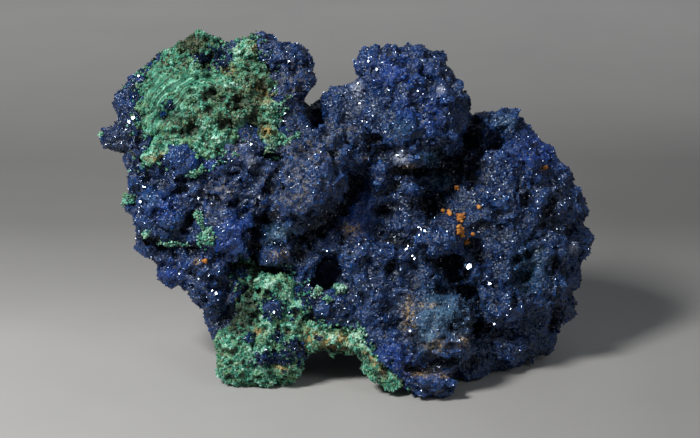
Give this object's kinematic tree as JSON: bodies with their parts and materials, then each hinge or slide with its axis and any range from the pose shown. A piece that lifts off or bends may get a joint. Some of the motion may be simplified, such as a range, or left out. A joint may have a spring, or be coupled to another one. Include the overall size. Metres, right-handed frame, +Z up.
{
  "type": "azurite specimen",
  "caption": "Mineral specimen: a rounded, lobed mass of azurite crystals with green malachite crusts, standing on its own low feet.",
  "frame": {"origin": "middle of the bounding box's base, on the surface that the piece stands on", "axes": "+X along the length, from the lobe with the upper malachite crust to the large round lobe; +Y to the back; +Z up"},
  "size_m": [0.08, 0.0434, 0.0513],
  "materials": {
    "azurite": "deep blue crystals with a glassy sparkle",
    "malachite": "dull green spongy crust",
    "limonite": "dull ochre flakes and stains"
  },
  "bodies": {
    "root": {"azurite_mass": "azurite", "malachite_crust_upper": "malachite", "malachite_crust_lower": "malachite"}
  },
  "joints": []
}
